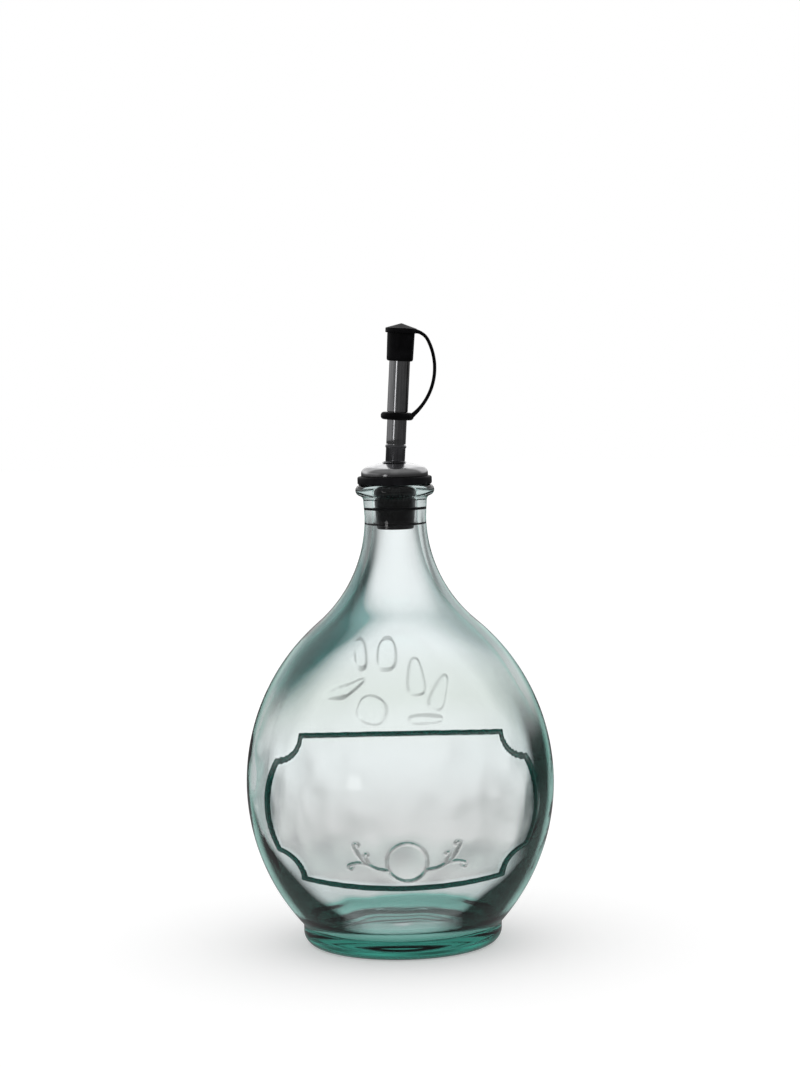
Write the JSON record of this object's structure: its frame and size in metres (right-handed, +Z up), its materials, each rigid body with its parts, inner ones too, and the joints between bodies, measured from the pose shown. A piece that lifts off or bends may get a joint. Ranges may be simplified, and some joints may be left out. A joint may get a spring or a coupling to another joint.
{
  "type": "glass oil bottle",
  "caption": "Globe-shaped pressed glass cooking-oil bottle with a raised blank front plaque, closed by a rubber bung with a leaning metal pourer and a tethered spout cap.",
  "frame": {"origin": "centre of the foot, on the plane that the foot stands on", "axes": "+Z up along the bottle's axis; -Y towards the front plaque; +X the way the spout leans and the side its strap bows to"},
  "size_m": [0.1236, 0.125, 0.249],
  "materials": {
    "green_glass": "pale blue-green pressed glass, darker where it is thick",
    "black_rubber": "satin black moulded rubber",
    "chrome": "bright pressed and plated sheet metal",
    "steel": "drawn stainless tube"
  },
  "bodies": {
    "bottle": {"glass_bottle": "green_glass"},
    "stopper": {"stopper_bung": "black_rubber"},
    "spout": {"dome_cap": "chrome", "spout_ferrule": "steel", "spout_tube": "steel", "air_tube": "steel"},
    "tether": {"strap_ring": "black_rubber", "cap_strap": "black_rubber"},
    "cap": {"spout_cap": "black_rubber"}
  },
  "joints": [
    {"name": "stopper_pull", "type": "slide", "parent": "bottle", "child": "stopper", "axis": [0, 0, 1], "range_m": [0, 0.02]},
    {"name": "spout_turn", "type": "hinge", "parent": "stopper", "child": "spout", "pos_m": [0, 0, 0.1886], "axis": [0, 0, 1], "continuous": true},
    {"name": "ring_turn", "type": "hinge", "parent": "spout", "child": "tether", "pos_m": [0.00152, 0, 0.21205], "axis": [0.0645, 0, 0.9979], "continuous": true},
    {"name": "cap_pull", "type": "slide", "parent": "tether", "child": "cap", "axis": [0.0645, 0, 0.9979], "range_m": [0, 0.011], "deforming": ["cap_strap"]}
  ]
}
